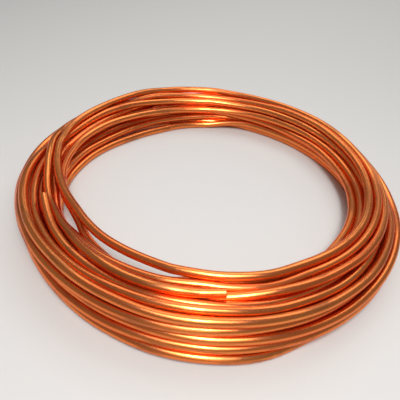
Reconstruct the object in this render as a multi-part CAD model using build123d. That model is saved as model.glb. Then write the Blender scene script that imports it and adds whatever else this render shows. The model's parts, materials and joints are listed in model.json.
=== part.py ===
"""Loose coil of bare copper tube, lying flat. Millimetres, +Z up.

The heap of turns is one turned solid with its bore. Its section is drawn turn by turn, so
the turns show on both ends and both sides, and what lies between them is filled. Each turn
of the heap has eight flat sides, because a round one takes several times as many facets.
The tube's two ends leave the heap as real round tube: each climbs out of the top row in one
arc, comes to lie on the turns below it, and ends straight, with an open mouth.

The origin is on the floor, on the axis of the heap.
"""
from math import asin, atan2, cos, degrees, radians, sin
from build123d import *
import os

# The tube, a stock size, and the size of the coil
TUBE_OD = 15.88
TUBE_WALL = 1.0
COIL_OD = 768.0

# How the turns lie: the mean pitch across a row, and the rise from one row to the next
TURN_PITCH = 17.3
ROW_RISE = 14.6

# The rows from the floor up: how many pitches the first turn stands in from the outside,
# and how many turns the row holds
ROWS = [(0.5, 4), (0, 5), (0.5, 4), (0, 5), (1.5, 3)]

# The flat sides of each turn of the heap, and the filling between two neighbouring turns:
# half its thickness over the turn's radius, along a row and from each row to the next
TURN_SIDES = 8
FILL_ALONG = 0.6
FILL_BETWEEN = 0.97

# The free ends: the straight, open length, how far round the coil each climbs, and how
# deep inside its row the climb begins
END_LENGTH = 32.0
END_CLIMB = 60.0
END_SINK = 4.0

# Each end's row and pitches in from the outside, the pitches that its climb moves it
# inwards, the direction of its mouth from the axis of the coil, and the way that the
# mouth looks: 1 is anticlockwise, -1 is clockwise
LEFT_END = dict(row=4, turn=2.5, move=0.5, mouth_at=202.0, way=-1)
FRONT_END = dict(row=4, turn=3.5, move=0.25, mouth_at=277.0, way=1)

TUBE_R = TUBE_OD / 2
BORE_R = TUBE_R - TUBE_WALL


def turn_place(row, turn):
    """Radius and height of a turn's centre, from its row and its pitches from outside."""
    return COIL_OD / 2 - TUBE_R - turn * TURN_PITCH, TUBE_R + row * ROW_RISE


def turn_outline(place):
    """One turn in the section, as wide across its flat sides as the tube is thick."""
    return Pos(*place) * RegularPolygon(
        TUBE_R, TURN_SIDES, major_radius=False, rotation=180 / TURN_SIDES)


def filling(here, there, fill):
    """The bar of filling between two neighbouring turns of the section."""
    run, rise = there[0] - here[0], there[1] - here[1]
    middle = Pos((here[0] + there[0]) / 2, (here[1] + there[1]) / 2)
    turned = Rot(0, 0, degrees(atan2(rise, run)))
    return middle * turned * Rectangle((run ** 2 + rise ** 2) ** 0.5, 2 * fill * TUBE_R)


def heap_section():
    """The outline of the heap: every turn, and the filling between near neighbours."""
    rows = [[turn_place(row, first + turn) for turn in range(count)]
            for row, (first, count) in enumerate(ROWS)]
    turns = [turn_outline(place) for places in rows for place in places]
    bars = [filling(here, there, FILL_ALONG)
            for places in rows for here, there in zip(places, places[1:])]
    for lower, upper in zip(rows, rows[1:]):
        bars += [filling(here, there, FILL_BETWEEN) for here in upper for there in lower
                 if abs(there[0] - here[0]) < TURN_PITCH]
    return Sketch() + turns + bars


def heap():
    """The turned solid of all the turns."""
    return revolve(Plane.XZ * heap_section(), Axis.Z, 360)


def free_end(row, turn, move, mouth_at, way):
    """One end of the tube, as its solid and the bore to cut from it.

    The climb is one arc in a plane tipped about the tube's own direction at its start. Its
    radius is smaller than the turn's, which moves the tube inwards, and its tip lifts the
    mouth until the tube rests on the turn that it left.
    """
    start_radius, row_height = turn_place(row, turn)
    climb = radians(END_CLIMB)
    inward_move = move * TURN_PITCH
    rise = (TUBE_OD ** 2 - inward_move ** 2) ** 0.5
    bend_radius = start_radius - inward_move / (1 - cos(climb))
    forward = bend_radius * sin(climb) + END_LENGTH * cos(climb)
    sideways = bend_radius * (1 - cos(climb)) + END_LENGTH * sin(climb)
    tip = asin((rise + END_SINK) / sideways)

    at = radians(mouth_at) - way * atan2(forward, start_radius - sideways * cos(tip))
    outwards = Vector(cos(at), sin(at), 0)
    along = Vector(-sin(at), cos(at), 0) * way
    inwards = outwards * -cos(tip) + Vector(0, 0, sin(tip))
    start = outwards * start_radius + Vector(0, 0, row_height - END_SINK)
    bend_axis = Axis(start + inwards * bend_radius, along.cross(inwards))

    section = Plane(origin=start, x_dir=inwards, z_dir=along) * Circle(TUBE_R)
    arc = revolve(section, bend_axis, END_CLIMB)
    leaves = along * cos(climb) + inwards * sin(climb)
    turned = start + along * bend_radius * sin(climb) + inwards * bend_radius * (1 - cos(climb))
    straight = Plane(origin=turned, x_dir=along.cross(inwards), z_dir=leaves)
    tube = arc + extrude(straight * Circle(TUBE_R), END_LENGTH)
    bore = extrude(straight * Circle(BORE_R), END_LENGTH)
    middle = turned + leaves * (END_LENGTH / 2)
    print("bore's middle", [round(v, 4) for v in middle], "axis", [round(v, 6) for v in leaves])
    return tube, bore


def tube_coil():
    """The whole coil, in one piece."""
    left_tube, left_bore = free_end(**LEFT_END)
    front_tube, front_bore = free_end(**FRONT_END)
    return heap() + left_tube + front_tube - left_bore - front_bore


solid = tube_coil()
os.makedirs("parts", exist_ok=True)
export_step(solid, "parts/tube_coil.step")
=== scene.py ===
# %% [markdown]
# # A loose coil of bare copper tube
#
# The object is one length of soft copper tube, about 45 m of it, wound by hand into some
# twenty-one turns that lie in a heap round a wide open eye. It lies flat, both of its ends
# are free on top, and each end is cut square and open.
#
# A spiral would draw it in a few lines, but a spiral looks machine-made, and a stack of
# rings has no ends. In a loose coil no turn lies quite like its neighbour. So this lesson
# makes what the thing is: one tube whose turns drift, cross and rest on each other.
#
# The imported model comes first. It is the fixed frame: it says where the coil stands, how
# large it is and where the two mouths of the tube are. Nothing below moves it.

# %% Load the frame
import json
import math
import bmesh
import bpy
import numpy as np
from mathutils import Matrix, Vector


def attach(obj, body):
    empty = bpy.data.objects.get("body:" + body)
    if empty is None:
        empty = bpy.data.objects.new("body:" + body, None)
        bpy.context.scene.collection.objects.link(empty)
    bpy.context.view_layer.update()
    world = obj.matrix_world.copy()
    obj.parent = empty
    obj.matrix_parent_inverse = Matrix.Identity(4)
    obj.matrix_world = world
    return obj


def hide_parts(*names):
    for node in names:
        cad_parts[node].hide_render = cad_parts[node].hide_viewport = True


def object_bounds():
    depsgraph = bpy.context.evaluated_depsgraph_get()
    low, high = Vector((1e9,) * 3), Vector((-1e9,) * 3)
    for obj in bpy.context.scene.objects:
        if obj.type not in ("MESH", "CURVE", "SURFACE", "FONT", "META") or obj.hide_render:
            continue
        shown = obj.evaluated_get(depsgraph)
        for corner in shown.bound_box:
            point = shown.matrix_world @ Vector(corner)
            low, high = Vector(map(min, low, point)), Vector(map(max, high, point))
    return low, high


MM = 0.001


def in_mm(values):
    """Metres as millimetres, rounded for printing."""
    return [round(float(value) / MM, 1) for value in values]


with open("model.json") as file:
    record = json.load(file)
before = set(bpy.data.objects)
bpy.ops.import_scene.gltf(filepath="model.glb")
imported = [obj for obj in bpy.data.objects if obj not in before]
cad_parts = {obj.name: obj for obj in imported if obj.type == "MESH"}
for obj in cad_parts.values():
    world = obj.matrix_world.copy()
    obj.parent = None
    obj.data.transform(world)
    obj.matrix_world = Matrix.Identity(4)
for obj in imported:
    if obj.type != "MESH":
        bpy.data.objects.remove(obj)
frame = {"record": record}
cad_low, cad_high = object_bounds()
print("CAD box, mm:", in_mm([*cad_low, *cad_high]))

# %% [markdown]
# ## The camera
#
# A camera could be moved by hand until the picture looks right, but a ring seen at a slant
# says nearly all there is to know about it. The near side is drawn larger than the far side,
# which gives the distance, and the eye's height over its width gives the angle. A short lens
# close by fits this ring best. The picture hangs a little to one side, so the camera is
# rolled by the same few degrees.

# %% Place the camera
CAMERA_ELEVATION = 40.3
CAMERA_DISTANCE = 858 * MM
CAMERA_ROLL = 4.77
CAMERA_TARGET = np.array([-13.3, -48.1, 37.0]) * MM
IMAGE_WIDTH = 400
FOCAL_PIXELS = 420
SENSOR_WIDTH = 36.0


def camera_axes(elevation, roll):
    """Right, up and back of a camera that looks along +Y and down by its elevation.

    Back is (0, -cos e, sin e). Right and up start as +X and back x right, and then turn
    together about back by the roll.
    """
    e, turn = math.radians(elevation), math.radians(roll)
    back = np.array([0, -math.cos(e), math.sin(e)])
    right = np.array([1.0, 0, 0])
    up = np.cross(back, right)
    return (math.cos(turn) * right + math.sin(turn) * up,
            -math.sin(turn) * right + math.cos(turn) * up, back)


def place_camera():
    """The camera at its distance from the target, and its lens from the focal pixels."""
    right, up, back = camera_axes(CAMERA_ELEVATION, CAMERA_ROLL)
    data = bpy.data.cameras.new("camera")
    data.sensor_width = SENSOR_WIDTH
    data.lens = FOCAL_PIXELS / IMAGE_WIDTH * SENSOR_WIDTH
    camera = bpy.data.objects.new("camera", data)
    matrix = np.eye(4)
    matrix[:3, 0], matrix[:3, 1], matrix[:3, 2] = right, up, back
    matrix[:3, 3] = CAMERA_TARGET + back * CAMERA_DISTANCE
    camera.matrix_world = matrix.T
    bpy.context.scene.collection.objects.link(camera)
    bpy.context.scene.camera = camera
    return camera


camera = place_camera()
print("camera lens, mm:", round(camera.data.lens, 2))

# %% [markdown]
# ## The two mouths
#
# Each end of the tube is cut off square and open. Its place could be typed in again here,
# but then the drawn tube and the solid one would part company at the next change. The
# frame's record states each mouth as a bore, with its middle, its axis, its radius and its
# depth, so those are read from it. Only the thickness of the wall is added.

# %% Read the tube's size and its two mouths
MOUNTS = {mount["name"]: mount for mount in frame["record"]["mounts"]}
WALL = 1.0 * MM
BORE_R = MOUNTS["left_mouth"]["dims"]["r_mm"] * MM
STRAIGHT = MOUNTS["left_mouth"]["dims"]["length_mm"] * MM
TUBE_R = BORE_R + WALL
TUBE_OD = 2 * TUBE_R


def mouth(name):
    """The centre of a mouth's rim and the way that it looks: middle + axis * half depth."""
    mount = MOUNTS[name]
    axis = np.array(mount["axis"])
    return np.array(mount["pos_m"]) + axis * STRAIGHT / 2, axis


def bearing_of(point):
    """The direction of a point from the coil's axis, in degrees from +X, anticlockwise."""
    return float(np.degrees(np.arctan2(point[1], point[0])) % 360)


START, START_AXIS = mouth("left_mouth")
END, END_AXIS = mouth("front_mouth")
print("mouths at", round(bearing_of(START), 1), round(bearing_of(END), 1))

# %% [markdown]
# ## The route of the turns
#
# A tube that is wound round an axis has one distance from it and one height for each angle,
# so its route is two lists: r and z against the angle wound so far. The ring is passed at
# four bearings, near (270), right (360), far (450) and left (540), and at each of them the
# heap has a section: a few rows of tubes on the floor and on each other. A place in that
# section is chosen for every turn, and the turn runs smoothly from one to the next.
#
# Writing the places turn by turn, instead of drawing twenty-one circles, gives what makes
# such a coil look real: it is one tube, each turn drifts to where the next one starts, and
# the turns on top sweep across the ones below.

# %% Choose the place of each turn at each bearing
# Each row is one turn, and each pair is a distance from the axis and a height, in mm: on the
# near side, on the right, on the far side and then on the left, where the next turn begins.
TURNS = [
    [(326, 72), (327, 60), (324, 63), (345, 68)],
    [(340, 78), (352, 55), (333, 50), (360, 71)],
    [(355, 73), (368, 54), (352, 50), (371, 59)],
    [(360, 58), (368, 38), (368, 50), (381, 47)],
    [(361, 42), (382, 46), (382, 50), (389, 33)],
    [(371, 28), (384, 25), (377, 33), (382, 14)],
    [(376, 10), (379, 8), (370, 19), (363, 8)],
    [(345, 9), (359, 8), (358, 8), (353, 22)],
    [(336, 25), (368, 22), (356, 22), (356, 38)],
    [(345, 41), (353, 39), (358, 36), (354, 54)],
    [(340, 62), (337, 39), (341, 36), (337, 38)],
    [(325, 41), (325, 22), (310, 10), (308, 8)],
    [(306, 9), (351, 22), (340, 22), (334, 22)],
    [(324, 9), (344, 8), (341, 8), (344, 8)],
    [(315, 25), (328, 8), (325, 8), (326, 8)],
    [(297, 25), (334, 22), (324, 22), (316, 22)],
    [(284, 9), (315, 59), (314, 48), (304, 62)],
    [(272, 61), (299, 52), (325, 36), (338, 54)],
    [(310, 64), (360, 68), (357, 61), (321, 57)],
    [(286, 67), (347, 79), (359, 81), (314, 79)],
    [(275, 79), (325, 83), (342, 70), (331, 71)],
]
BEARINGS = [270, 360, 450, 540]
print("turns with places:", len(TURNS))

# %% [markdown]
# ## The tubes that can be followed
#
# Four places a turn are enough where the turns lie side by side. Where one tube can be
# followed it gets more of them, so that it bends where the real one bends. Those are
# the stretch behind each mouth, the outer wall where it is drawn in, low strands towards the
# eye, the loop that hangs free inside the near side, and the turns on top, which sweep
# inwards over the left side one after the other. Giving every turn as many places would be
# a long list of guesses about tubes that nobody sees.

# %% Add the places of the tubes that can be followed
# Keys are turns. Each place is a bearing, which counts on past 360, a distance and a height.
FOLLOWED = {
    # The first turns, high in the heap
    0: [(225, 328, 75), (245, 327, 73), (315, 332, 62)],
    1: [(315, 347, 64), (488, 340, 51), (506, 351, 50), (520, 356, 52), (531, 359, 60)],
    2: [(500, 370, 54), (515, 374, 56)],
    # The outer wall, drawn in at the near left and the near right
    3: [(487, 370, 51), (505, 373, 50), (565, 371, 45), (577, 360, 44), (595, 360, 43)],
    4: [(328, 379, 46), (345, 383, 47), (378, 376, 52), (470, 384, 49), (487, 387, 44),
        (505, 388, 40), (563, 372, 31), (575, 362, 30), (595, 366, 29)],
    5: [(563, 366, 11), (575, 361, 10), (595, 364, 10)],
    6: [(285, 377, 9), (296, 369, 8), (305, 366, 8), (315, 368, 8), (333, 379, 8)],
    # Low strands towards the eye, on the right and the far side
    11: [(315, 320, 30), (380, 325, 22), (395, 324, 22), (410, 320, 22), (435, 318, 20),
         (466, 300, 8), (480, 292, 8), (495, 290, 8), (508, 296, 8), (522, 304, 8)],
    12: [(405, 350, 22), (435, 347, 22), (466, 333, 22)],
    14: [(375, 329, 8), (390, 329, 8), (405, 326, 8)],
    15: [(375, 342, 22), (390, 342, 22), (405, 336, 22), (435, 332, 22), (466, 316, 22)],
    # The innermost tube, which hangs free inside the near side from turn 16 to turn 17
    16: [(315, 300, 44), (325, 304, 56), (335, 308, 61), (345, 311, 61), (375, 319, 57),
         (549, 298, 62), (562, 287, 62), (568, 281, 62), (576, 279, 61), (584, 285, 58),
         (592, 287, 55), (610, 286, 53), (621, 280, 57)],
    17: [(277, 276, 63), (284, 280, 64), (292, 285, 65), (302, 291, 65), (312, 293, 63),
         (325, 293, 60), (338, 294, 57), (350, 297, 54), (375, 303, 50), (390, 309, 48)],
    # The turns on top, which sweep inwards over the left side
    18: [(310, 330, 77), (335, 346, 74), (405, 360, 65), (435, 357, 61), (480, 345, 54),
         (500, 335, 52), (512, 334, 52), (522, 334, 54), (529, 336, 57), (535, 328, 57),
         (547, 314, 57), (555, 306, 57), (566, 307, 56), (572, 305, 57), (580, 300, 61),
         (588, 298, 64)],
    19: [(238, 295, 67), (255, 291, 68), (278, 291, 67), (285, 296, 69), (292, 300, 70),
         (305, 303, 75), (322, 318, 78), (338, 333, 78), (375, 351, 80), (390, 356, 81),
         (405, 359, 81), (420, 359, 81), (435, 356, 81), (465, 362, 81), (480, 360, 81),
         (492, 355, 81), (505, 350, 81), (515, 347, 81), (522, 340, 81), (526, 334, 81),
         (531, 329, 81), (535, 322, 80)],
    20: [(199, 289, 79), (206, 281, 79), (212, 276, 79), (219, 273, 79), (230, 271, 79),
         (243, 269, 79), (276, 278, 79), (284, 282, 80), (293, 287, 81), (302, 292, 82),
         (310, 298, 82), (318, 304, 83), (326, 310, 83), (334, 314, 83), (340, 317, 83),
         (346, 320, 83), (375, 329, 83), (390, 335, 82), (405, 341, 80), (420, 342, 76),
         (435, 341, 72), (465, 345, 68), (480, 350, 66), (495, 357, 65), (508, 361, 66),
         (518, 359, 66), (524, 354, 66), (529, 347, 67), (534, 339, 69)],
}
# The last stretch, from the left side to the mouth on the near side
LAST = [(187, 323, 70), (195, 319, 67), (201, 318, 66), (208, 315, 68), (214, 313, 71),
        (220, 312, 75), (230, 314, 79), (240, 318, 82), (253, 319, 82), (262, 316, 81)]
print("more places:", sum(len(places) for places in FOLLOWED.values()) + len(LAST))

# %% [markdown]
# ## One list for the whole tube
#
# The two straight ends are given by the frame, the places above lie between them, and all of
# them go into one list in the order of the tube. The route is then worked out at even steps
# of angle, the same ones on every turn, so that any two turns can be compared at a glance
# later on.

# %% Put the places in order
STATIONS = 144
STEP = 360 / STATIONS
START_BEARING = round(bearing_of(START), 1)
WOUND = 360 * len(TURNS) + round(bearing_of(END) - bearing_of(START), 1)
angle = START_BEARING + np.arange(round(WOUND / STEP) + 1) * STEP


def straight_end(centre, axis):
    """Three places on the straight stretch behind a mouth: bearing, distance and height."""
    points = centre - axis * STRAIGHT * np.linspace(0, 1, 3)[:, None]
    return [(bearing_of(p), math.hypot(p[0], p[1]) / MM, p[2] / MM) for p in points]


def all_places():
    """Every place as (angle wound so far, distance, height), in the order of the tube."""
    places = straight_end(START, START_AXIS)
    for turn, row in enumerate(TURNS):
        places += [(360 * turn + b, r, z) for b, (r, z) in zip(BEARINGS, row)]
        places += [(360 * turn + b, r, z) for b, r, z in FOLLOWED.get(turn, [])]
    finish = LAST + straight_end(END, END_AXIS)
    places += [(360 * len(TURNS) + b, r, z) for b, r, z in finish]
    return np.array(sorted(places))


places = all_places()
print("turns", round(WOUND / 360, 3), "stations", len(angle), "places", len(places))

# %% [markdown]
# ## A smooth line through the places
#
# Straight lines between the places would show a kink at each of them, and one curve fitted
# to all of them would swing out between the near ones. A cubic for each stretch does
# neither: it arrives and leaves with the slope that its neighbours give.

# %% Draw the route through its places


def through(knots, values, at):
    """A smooth line through values at knots.

    The slope at a knot is the rise over the run between its two neighbours. Between knots
    the line is the Hermite cubic: with t from 0 to 1, the values weigh 1 - 3t^2 + 2t^3 and
    3t^2 - 2t^3, and the slopes t - 2t^2 + t^3 and t^3 - t^2.
    """
    slope = np.gradient(values, knots)
    i = np.clip(np.searchsorted(knots, at, side="right") - 1, 0, len(knots) - 2)
    run = knots[i + 1] - knots[i]
    t = (at - knots[i]) / run
    ends = values[i] * (1 - 3 * t**2 + 2 * t**3) + values[i + 1] * (3 * t**2 - 2 * t**3)
    bends = slope[i] * (t - 2 * t**2 + t**3) + slope[i + 1] * (t**3 - t**2)
    return ends + run * bends


drawn_r = through(places[:, 0], places[:, 1], angle) * MM
drawn_z = through(places[:, 0], places[:, 2], angle) * MM
print("nearest and farthest from the axis, mm:", in_mm([drawn_r.min(), drawn_r.max()]))

# %% [markdown]
# ## The unevenness of hand winding
#
# Between its places a real turn is never quite true: it was bent by hand, and it has been
# moved since. Noise at every station would make the tube shake, so the noise is averaged
# over its neighbours, which leaves slow bends. A long average gives the drift of a turn, and
# a short one the small wobble on it. Stretches that were followed drift less, and the
# mouths not at all.

# %% Let each turn drift a little
WANDER_SEED = 11
WANDER_ACROSS = 2.2 * MM
WANDER_UP = 1.0 * MM
# Every reach counts stations, to each side
WANDER_REACH = 20
# Degrees from a mouth at which the tube is free, and degrees from a followed place up to
# which it is firm and from which it is free
MOUTH_FREE = 30
FOLLOWED_FIRM = 5
FOLLOWED_FREE = 25
# The share of its drift that a firm stretch loses
FOLLOWED_CALM = 0.6


def running_mean(values, reach):
    """The mean of each value and its neighbours, weighed by a raised cosine of that reach."""
    weights = 1 + np.cos(np.linspace(-math.pi, math.pi, 2 * reach + 3)[1:-1])
    padded = np.pad(values, reach, mode="edge")
    return np.convolve(padded, weights / weights.sum(), mode="valid")


def wander(size, reach, seed):
    """An uneven drift: noise at every station, averaged over its neighbours, then scaled."""
    noise = np.random.default_rng(seed).normal(size=len(angle))
    drift = running_mean(noise, reach)
    return drift / drift.std() * size


def fade(distance, full, gone):
    """1 up to one distance, 0 from the other on, and half a cosine between them."""
    t = np.clip((distance - full) / (gone - full), 0, 1)
    return (1 + np.cos(math.pi * t)) / 2


straight_span = bearing_of(END) - bearing_of(END - END_AXIS * STRAIGHT)
to_mouth = np.minimum(angle - angle[0], angle[-1] - angle)
at_mouth = fade(to_mouth, straight_span, MOUTH_FREE) ** 3
followed_angles = [360 * turn + row[0] for turn, rows in FOLLOWED.items() for row in rows]
followed_angles += [360 * len(TURNS) + row[0] for row in LAST]
to_followed = np.abs(angle[:, None] - np.array(followed_angles)).min(axis=1)
firm = fade(to_followed, FOLLOWED_FIRM, FOLLOWED_FREE)
loose = (1 - at_mouth) * (1 - FOLLOWED_CALM * firm)
aim_r = drawn_r + wander(WANDER_ACROSS, WANDER_REACH, WANDER_SEED) * loose
aim_z = drawn_z + wander(WANDER_UP, WANDER_REACH, WANDER_SEED + 1) * loose
print("largest drift, mm:", in_mm([abs(aim_r - drawn_r).max(), abs(aim_z - drawn_z).max()]))

# %% [markdown]
# ## Tubes that touch
#
# Places chosen one by one let tubes run into each other, which copper can't do. To find where
# they do, the route is laid out as a table with one row for each turn and one column for
# each station. All pairs of rows are then measured at all stations at once, because a loop
# over pairs of points would take minutes. Where two centres are nearer than the tube is
# thick, each is pushed away from the other by half of what is missing.

# %% Push overlapping turns apart
# The distance that two centres are to keep, a little more than touching
CLEAR = TUBE_OD * 1.012


def by_turn(values):
    """The route as one row a turn. The last row ends with the tube, and is blank after it."""
    rows = np.full((len(TURNS) + 1) * STATIONS, np.nan)
    rows[:len(values)] = values
    return rows.reshape(-1, STATIONS)


def pushes(r, z):
    """How far the other tubes push each station, and the least distance between two tubes.

    A pair at a distance d under CLEAR gives each of the two (CLEAR - d) / 2, along the line
    between them. The pushes of all pairs are added up.
    """
    rows_r, rows_z = by_turn(r), by_turn(z)
    dr = rows_r[:, None] - rows_r[None]
    dz = rows_z[:, None] - rows_z[None]
    apart = np.sqrt(dr**2 + dz**2)
    apart[np.arange(len(rows_r)), np.arange(len(rows_r))] = np.nan
    share = np.nan_to_num(np.clip(CLEAR - apart, 0, None) / apart) / 2
    push_r = np.nansum(share * dr, axis=1).ravel()[:len(r)]
    push_z = np.nansum(share * dz, axis=1).ravel()[:len(r)]
    return push_r, push_z, np.nanmin(apart)


print("least distance as drawn, mm:", in_mm([pushes(aim_r, aim_z)[2]]))

# %% [markdown]
# ## Settling the heap
#
# A physics simulation of 45 m of stiff tube in contact with itself would take far longer
# than the picture needs, since only its resting state is wanted. Four plain rules, used many
# times over, reach it in seconds. Overlapping tubes are pushed apart. A push on a stiff tube
# moves a whole stretch of it, so it is spread along the tube by the running mean. A light
# pull, firmer where the tube was followed, keeps each turn near its places. Weight
# lets it down until it lies on something.

# %% One step of settling
# No centre lies higher, so the tube stays within 2% of the height of the CAD box
CEILING = cad_high[2] * 1.02 - TUBE_R
WEIGHT = 0.04 * MM
# The share of its way back to its aim that a free stretch and a firm one go in a step
PULL = 0.02
FIRM_PULL = 0.10
# Pushes are given larger than they are, which settles the heap sooner
EAGER = 1.6
# How far a stretch goes to its own running mean, and the reach of that mean
STIFF = 0.7
STIFF_REACH = 4


def step(off, push, grip, reach, held):
    """One step of settling, for the distances of all stations from their aim.

    They shrink by the grip and gain the spread pushes, and then move to their own running
    mean by the stiffness, which evens the tube out.
    """
    off = off * (1 - grip) + running_mean(push, reach) * EAGER
    return off + (running_mean(off, STIFF_REACH) - off) * STIFF * held


print("highest that a centre may lie, mm:", in_mm([CEILING]))

# %% [markdown]
# ## Three rounds
#
# The first round lets the drawn turns find their place. The small wobble goes on after it,
# because the pull and the stiffness would smooth it away. It makes new overlaps, so two more
# rounds follow with the pushes alone, spread over ever shorter stretches: one long round of
# short pushes would dent a turn instead of moving it.

# %% Settle the turns on each other
WOBBLE = 0.4 * MM
WOBBLE_REACH = 4


def settle(r, z, steps, reach, held):
    """The route after so many steps. With held 0 the pushes act alone, and with 1 all rules.

    The stations at a mouth keep their aim, and no tube leaves the floor or the box.
    """
    grip = held * (PULL + (FIRM_PULL - PULL) * firm)
    for _ in range(steps):
        push_r, push_z, _ = pushes(r, z)
        off_r = step(r - aim_r, push_r, grip, reach, held)
        off_z = step(z - aim_z, push_z, grip, reach, held) - WEIGHT * held
        r = aim_r + off_r * (1 - at_mouth)
        z = np.clip(aim_z + off_z * (1 - at_mouth), TUBE_R, CEILING)
    return r, z


r, z = settle(aim_r, aim_z, steps=260, reach=7, held=1)
r = r + wander(WOBBLE, WOBBLE_REACH, WANDER_SEED + 2) * (1 - at_mouth)
z = z + wander(WOBBLE, WOBBLE_REACH, WANDER_SEED + 3) * (1 - at_mouth)
r, z = settle(r, z, steps=140, reach=3, held=0)
r, z = settle(r, z, steps=80, reach=1, held=0)
print("least distance between tubes, mm:", round(float(pushes(r, z)[2]) / MM, 2),
      "highest, nearest and farthest centre:", in_mm([z.max(), r.min(), r.max()]))

# %% [markdown]
# ## The tube itself
#
# The tube is a circle carried along the route. A curve object with a round bevel would do
# that too, but a grid worked out here keeps two things that the finish needs: how far along
# the tube a point is, and how far round it. The circle must not twist as it goes, or the
# draw lines would wind round the tube like a thread. So one of its two directions always
# points away from the axis of the coil.

# %% Carry a circle along the route
SIDES = 28


def unit(vectors):
    """Vectors made one long."""
    return vectors / np.linalg.norm(vectors, axis=-1, keepdims=True)


def directions(points):
    """Three directions at each point of the route: outwards, upwards and along the tube.

    Outwards is the direction from the axis less its part along the tube, made a unit long.
    Upwards is outwards x along.
    """
    along = unit(np.gradient(points, axis=0))
    outward = unit(points * [1, 1, 0])
    outward = unit(outward - (outward * along).sum(-1, keepdims=True) * along)
    return outward, np.cross(outward, along), along


def rings(points, outward, upward, radii):
    """Circles round the points: point + radius * (cos t * outward + sin t * upward)."""
    t = np.linspace(0, 2 * math.pi, SIDES + 1)[:, None]
    across = np.cos(t) * outward[:, None] + np.sin(t) * upward[:, None]
    return points[:, None] + np.asarray(radii)[:, None, None] * across


bearing = np.radians(angle)
points = np.stack([r * np.cos(bearing), r * np.sin(bearing), z], axis=-1)
outward, upward, along = directions(points)
lengths = np.append(0, np.cumsum(np.linalg.norm(np.diff(points, axis=0), axis=1)))
print("tube length, m:", round(lengths[-1], 2))

# %% [markdown]
# ## The cut ends
#
# A tube cutter leaves a square end with its sharp edges just broken. A flat cap would look
# like a rod, and a hole cut by a Boolean would leave ragged faces, so the circle simply goes
# on: it stands still at the mouth, shrinks over the broken outer edge, across the flat ring
# of the wall and over the inner edge, and then runs back down the bore. A ring close behind
# each edge keeps it crisp under smooth shading. The bore is closed where it is dark, by a
# ring of no radius.

# %% Make the rings of both mouths
BORE_SHOWN = 40
EDGE = 0.3 * MM
HOLD = 0.8 * MM
EDGE_BACK = [EDGE + HOLD, EDGE, 0, 0, EDGE, EDGE + HOLD]
EDGE_RADII = [TUBE_R, TUBE_R, TUBE_R - EDGE, BORE_R + EDGE, BORE_R, BORE_R]


def mouth_rings(points, outward, upward, inward):
    """The rings of one mouth, from the outer wall over the cut edge and down the bore.

    The arrays run from the mouth inwards. The rings of the edge stand at the mouth's point
    moved back by EDGE_BACK, and those of the bore at the next stations of the route.
    """
    edge = rings(points[0] + np.outer(EDGE_BACK, inward), outward[:1], upward[:1], EDGE_RADII)
    down = [*range(1, BORE_SHOWN), BORE_SHOWN - 1]
    radii = [BORE_R] * (BORE_SHOWN - 1) + [0]
    return np.concatenate([edge, rings(points[down], outward[down], upward[down], radii)])


start_rings = mouth_rings(points, outward, upward, along[0])
end_rings = mouth_rings(points[::-1], outward[::-1], upward[::-1], -along[-1])
print("bore shown, mm:", in_mm([lengths[BORE_SHOWN - 1]]))

# %% [markdown]
# ## From rings to a mesh
#
# One mouth, the wall and the other mouth are now one long sheet of rings, from the blind end
# of one bore to that of the other. Neighbouring rings are joined by four-sided faces, whose
# corners go round in the order that makes them face out of the metal: seen the wrong way
# round, a face may vanish in another program.

# %% Join the rings


def grid_mesh(name, grid, run):
    """A mesh from a grid of rings whose last column repeats the first.

    Each face joins two neighbours of one ring to the same two of the next. The map holds how
    far along the tube a corner is, in metres, and how far round it, from 0 to 1.
    """
    rows, columns = grid.shape[0], grid.shape[1] - 1
    index = np.arange(rows * columns).reshape(rows, columns)
    here, there = index[:-1], index[1:]
    quads = np.stack([here, there, np.roll(there, -1, 1), np.roll(here, -1, 1)], axis=-1)
    mesh = bpy.data.meshes.new(name)
    mesh.from_pydata(grid[:, :-1].reshape(-1, 3), [], quads.reshape(-1, 4))
    row, column = np.indices(here.shape)
    u = run[np.stack([row, row + 1, row + 1, row], axis=-1)]
    v = np.stack([column, column, column + 1, column + 1], axis=-1) / columns
    layer = mesh.uv_layers.new(name="tube")
    layer.data.foreach_set("uv", np.stack([u, v], axis=-1).astype(np.float32).ravel())
    mesh.polygons.foreach_set("use_smooth", np.ones(here.size, bool))
    return mesh


wall = rings(points[1:-1], outward[1:-1], upward[1:-1], np.full(len(points) - 2, TUBE_R))
grid = np.concatenate([start_rings[::-1], wall, end_rings])
run = np.concatenate([lengths[:len(start_rings)][::-1], lengths[1:-1],
                      lengths[-1] - lengths[:len(end_rings)]])
mesh = grid_mesh("copper_tube", grid, run)
print("rings", len(grid), "faces", len(mesh.polygons))

# %% [markdown]
# ## A closed skin
#
# Each bore ends in a ring of no radius: a circle of points that all lie on one spot, which
# looks closed and isn't. A single point could be built in by hand, with its fan of faces,
# but merging the points that coincide gives the same with less to go wrong. Then the tube
# goes into the scene.

# %% Close the skin and place the tube
POLE_MERGE = 0.001 * MM


def close_poles(mesh):
    """Merges the points of the first ring into one, and those of the last."""
    work = bmesh.new()
    work.from_mesh(mesh)
    work.verts.ensure_lookup_table()
    poles = work.verts[:SIDES] + work.verts[-SIDES:]
    bmesh.ops.remove_doubles(work, verts=poles, dist=POLE_MERGE)
    work.to_mesh(mesh)
    work.free()


close_poles(mesh)
tube = bpy.data.objects.new("copper_tube", mesh)
bpy.context.scene.collection.objects.link(tube)
mesh.calc_loop_triangles()
print("triangles", len(mesh.loop_triangles))

# %% [markdown]
# ## Shader maths as Python
#
# A finish is a small formula on numbers that change over the surface. Wired by hand it is a
# web of nodes, and a long list of links in a script is no easier to read. So a socket gets a
# thin wrapper here: an expression such as `1 - mask` adds its Math node by itself, and
# `node` makes any other node.

# %% Wrap a socket


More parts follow.
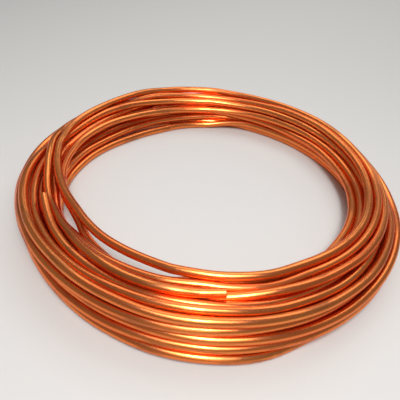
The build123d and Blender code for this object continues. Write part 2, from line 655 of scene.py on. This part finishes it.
class Wire:
    """One output socket of a material's node tree, with arithmetic."""

    def __init__(self, tree, socket=None):
        self.tree, self.socket = tree, socket

    def node(self, kind, settings=None, values=None, output=0):
        """A new node: its settings first, then the values or links of its sockets."""
        made = self.tree.nodes.new(kind)
        for name, value in (settings or {}).items():
            if name == "stops":
                set_stops(made.color_ramp, value)
            else:
                setattr(made, name, value)
        for name, value in (values or {}).items():
            if isinstance(value, Wire):
                value.into(made.inputs[name])
            else:
                made.inputs[name].default_value = value
        return Wire(self.tree, made.outputs[output])

    def maths(self, operation, *others):
        """A Math node of that operation, on this wire and the others."""
        values = dict(enumerate((self, *others)))
        return self.node("ShaderNodeMath", {"operation": operation}, values)

    def output(self, index):
        """Another output of the node that this wire leaves."""
        return Wire(self.tree, self.socket.node.outputs[index])

    def into(self, socket):
        """Links this wire to a socket of another node."""
        self.tree.links.new(self.socket, socket)

    def __add__(self, other):
        return self.maths("ADD", other)

    def __mul__(self, other):
        return self.maths("MULTIPLY", other)

    def __rsub__(self, other):
        return self.node("ShaderNodeMath", {"operation": "SUBTRACT"}, {0: other, 1: self})

    __radd__, __rmul__ = __add__, __mul__


def set_stops(ramp, stops):
    """Gives a colour ramp its stops, each a position and a grey level."""
    while len(ramp.elements) < len(stops):
        ramp.elements.new(0.5)
    for element, (position, level) in zip(ramp.elements, stops):
        element.position, element.color = position, (level, level, level, 1)


def new_material(name):
    """An empty material, its Principled shader, and a wire to make the first nodes from."""
    material = bpy.data.materials.new(name)
    material.use_nodes = True
    tree = material.node_tree
    return material, tree.nodes["Principled BSDF"], Wire(tree)


# %% [markdown]
# ## Patterns that follow the tube
#
# Everything that marks this metal runs with the tube: the lines of the die, the streaks left
# by hands and oil, the tarnish. A pattern in the room's space would cut straight through the
# turns, and an image wrapped round the tube would show a seam and repeat. So the pattern's
# space is the tube pulled straight. The distance along it is one axis, and the cosine and
# the sine of the way round are the other two, which brings the pattern back to where it
# began after a full turn.

# %% Noise on the tube pulled straight
# How fast each pattern changes along the tube and round it, how many finer copies of itself
# are laid over it, and how strong they are
DRAW_LINES = dict(along=3.0, around=9.0, detail=3.0, roughness=0.7)
STREAKS = dict(along=2.0, around=2.6, detail=4.0, roughness=0.65)
CLOUDS = dict(along=5.0, around=0.5, detail=3.0, roughness=0.6)
MARKS = dict(along=11.0, around=0.7, detail=4.0, roughness=0.6)


def tube_space(start):
    """Metres along the tube, and the cosine and the sine of the way round it."""
    spot = start.node("ShaderNodeUVMap", {"uv_map": "tube"})
    far_along = start.node("ShaderNodeSeparateXYZ", values={0: spot})
    turned = far_along.output(1) * (2 * math.pi)
    return far_along, turned.maths("COSINE"), turned.maths("SINE")


def noise(space, along, around, detail, roughness):
    """Noise at the place (metres * along, cosine * around, sine * around)."""
    far_along, side, top = space
    place = far_along.node("ShaderNodeCombineXYZ", values={
        0: far_along * along, 1: side * around, 2: top * around})
    return place.node("ShaderNodeTexNoise", values={
        "Vector": place, "Scale": 1.0, "Detail": detail, "Roughness": roughness})


def ramp(pattern, low, high):
    """0 where the pattern is under low, 1 where it is over high, and even between them."""
    return pattern.node("ShaderNodeValToRGB", {"stops": [(low, 0.0), (high, 1.0)]}, {0: pattern})


def blend(factor, first, second):
    """The first colour where the factor is 0, and the second where it is 1."""
    return factor.node("ShaderNodeMix", {"data_type": "RGBA"},
                       {0: factor, 6: first, 7: second}, output=2)


for name, pattern in dict(lines=DRAW_LINES, streaks=STREAKS, clouds=CLOUDS, marks=MARKS).items():
    print(name, "long and wide, mm, about:", in_mm([1 / pattern["along"], TUBE_R / pattern["around"]]))

# %% [markdown]
# ## Bright drawn copper
#
# The tube was pulled through a die, which leaves very fine lines along it. Light that falls
# on such lines spreads across them, so the glare is wide over the tube and short along it.
# An even roughness can't do that. The shader's Anisotropic setting can, and its own tangent
# already runs round the axis of the coil, which is along the tube, so a quarter turn brings
# the spread across.
#
# A thin film of oil lies on the metal, as a weak coat, and the metal's edges reflect a paler
# tint than its face. What is the same all over is written here by the names of the shader's
# own settings. The numbers were found by comparing the render with the picture.

# %% What is the same all over the metal
METAL = {
    "Metallic": 1.0,
    "Specular Tint": (1.0, 0.42, 0.16, 1),
    "Coat Weight": 0.7,
    "Coat Roughness": 0.25,
    "Anisotropic": 0.82,
    "Anisotropic Rotation": 0.25,
}
print("settings of the metal:", len(METAL))

# %% [markdown]
# ## Colour, dullness and lines
#
# Clean, the metal is a strong orange. It reddens in clouds and streaks, and turns brown in
# the marks of first tarnish. Each state could be a material of its own, mixed by a mask, but
# in one material the colour and the shine change together at no cost, and a mark fades out
# at its edge. Streaks and marks are also a little duller, and the draw lines are both duller
# and a little raised.

# %% Make the copper
COPPER = (0.95, 0.30, 0.058, 1)
WARM = (0.90, 0.16, 0.022, 1)
TARNISH = (0.34, 0.10, 0.020, 1)
# Where each pattern begins and where it is full
CLOUD_EDGE = (0.38, 0.66)
STREAK_EDGE = (0.34, 0.66)
MARK_EDGE = (0.54, 0.64)
MARK_STRENGTH = 0.6
SMOOTHEST = 0.10
LINE_ROUGH = 0.18
STREAK_ROUGH = 0.10
MARK_ROUGH = 0.16
LINE_DEPTH = 0.15 * MM
BUMP_STRENGTH = 0.25


def copper_finish():
    """The material of the tube.

    Its colour runs from COPPER to WARM by clouds and streaks, half each, and then to TARNISH
    in the marks. Its roughness is the smoothest value plus a share of the lines, the streaks
    and the marks. Its bump is the lines plus half the clouds.
    """
    material, shader, start = new_material("bright drawn copper")
    for name, value in METAL.items():
        shader.inputs[name].default_value = value
    space = tube_space(start)
    lines = noise(space, **DRAW_LINES)
    cloud = noise(space, **CLOUDS)
    streaks = ramp(noise(space, **STREAKS), *STREAK_EDGE)
    marks = ramp(noise(space, **MARKS), *MARK_EDGE)
    redder = ramp(cloud, *CLOUD_EDGE) * 0.5 + streaks * 0.5
    clean = 1 - marks * MARK_STRENGTH
    blend(clean, TARNISH, blend(redder, COPPER, WARM)).into(shader.inputs["Base Color"])
    dull = lines * LINE_ROUGH + streaks * STREAK_ROUGH + marks * MARK_ROUGH
    (dull + SMOOTHEST).into(shader.inputs["Roughness"])
    bump = start.node("ShaderNodeBump", values={
        "Strength": BUMP_STRENGTH, "Distance": LINE_DEPTH, "Height": lines + cloud * 0.5})
    bump.into(shader.inputs["Normal"])
    return material


copper = copper_finish()
tube.data.materials.append(copper)
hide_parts("tube_coil")
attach(tube, "root")
print("nodes in the copper:", len(copper.node_tree.nodes))

# %% [markdown]
# ## The floor and the room
#
# A metal shows mostly what it reflects, so the room matters as much as the metal. A pale
# floor and an even, pale room keep the sides of the tubes light, and they are plain, so that
# nothing in the reflections competes with the coil. An image of a real room would be the
# other way, but its windows and its tint would end up in the copper.

# %% Floor and room
FLOOR_SIZE = 12.0
FLOOR_COLOUR = (0.74, 0.73, 0.71, 1)
FLOOR_ROUGH = 0.9
ROOM_COLOUR = (0.80, 0.79, 0.78, 1)
ROOM_LEVEL = 0.31


def make_floor():
    """One square far larger than the coil, at height 0."""
    half = FLOOR_SIZE / 2
    corners = np.array([[-half, -half, 0], [half, -half, 0], [half, half, 0], [-half, half, 0]])
    mesh = bpy.data.meshes.new("floor")
    mesh.from_pydata(corners, [], [(0, 1, 2, 3)])
    floor = bpy.data.objects.new("floor", mesh)
    bpy.context.scene.collection.objects.link(floor)
    material, shader, _ = new_material("pale floor")
    shader.inputs["Base Color"].default_value = FLOOR_COLOUR
    shader.inputs["Roughness"].default_value = FLOOR_ROUGH
    mesh.materials.append(material)


def make_room():
    """The world: one even pale colour from all sides."""
    world = bpy.data.worlds.new("room")
    world.use_nodes = True
    background = world.node_tree.nodes["Background"]
    background.inputs["Color"].default_value = ROOM_COLOUR
    background.inputs["Strength"].default_value = ROOM_LEVEL
    bpy.context.scene.world = world


make_floor()
make_room()
print("floor, m:", FLOOR_SIZE, "room level:", ROOM_LEVEL)

# %% [markdown]
# ## The lamps
#
# The photographed coil has one broad glare across its near side, with a small hot heart, and
# a softer one across its far side. Both sit where the ring turns square to the light, which
# is how large lamps above a ring show. A point lamp would leave hard white dots instead. So
# a broad key lamp hangs over the near side with a small bright one in it, a wide ceiling
# lamp hangs over the far side, and a weak one stands low behind the coil.

# %% Lamps
# Name, place, width and length in metres, and watts
LAMPS = [
    ("key", (0.08, -0.9, 1.9), 0.95, 1.1, 13),
    ("spark", (0.05, -1.0, 1.7), 0.24, 0.7, 15),
    ("ceiling", (0.3, 1.6, 2.5), 3.0, 1.6, 24),
    ("far wall", (1.0, 2.5, 1.1), 2.2, 0.9, 5),
]
LAMP_TARGET = (0, 0, 0.03)


def lamp(name, place, across, along, watts):
    """A flat lamp at a place, so wide and so long, turned to face the coil."""
    data = bpy.data.lights.new(name, "AREA")
    data.shape, data.size, data.size_y, data.energy = "RECTANGLE", across, along, watts
    light = bpy.data.objects.new(name, data)
    back = unit(np.array(place, float) - LAMP_TARGET)
    right = unit(np.cross([0, 0, 1], back))
    matrix = np.eye(4)
    matrix[:3, 0], matrix[:3, 1], matrix[:3, 2] = right, np.cross(back, right), back
    matrix[:3, 3] = place
    light.matrix_world = matrix.T
    bpy.context.scene.collection.objects.link(light)


for values in LAMPS:
    lamp(*values)
bpy.context.scene.view_settings.view_transform = "Standard"
print("lamps:", len(LAMPS), "watts in all:", sum(values[-1] for values in LAMPS))
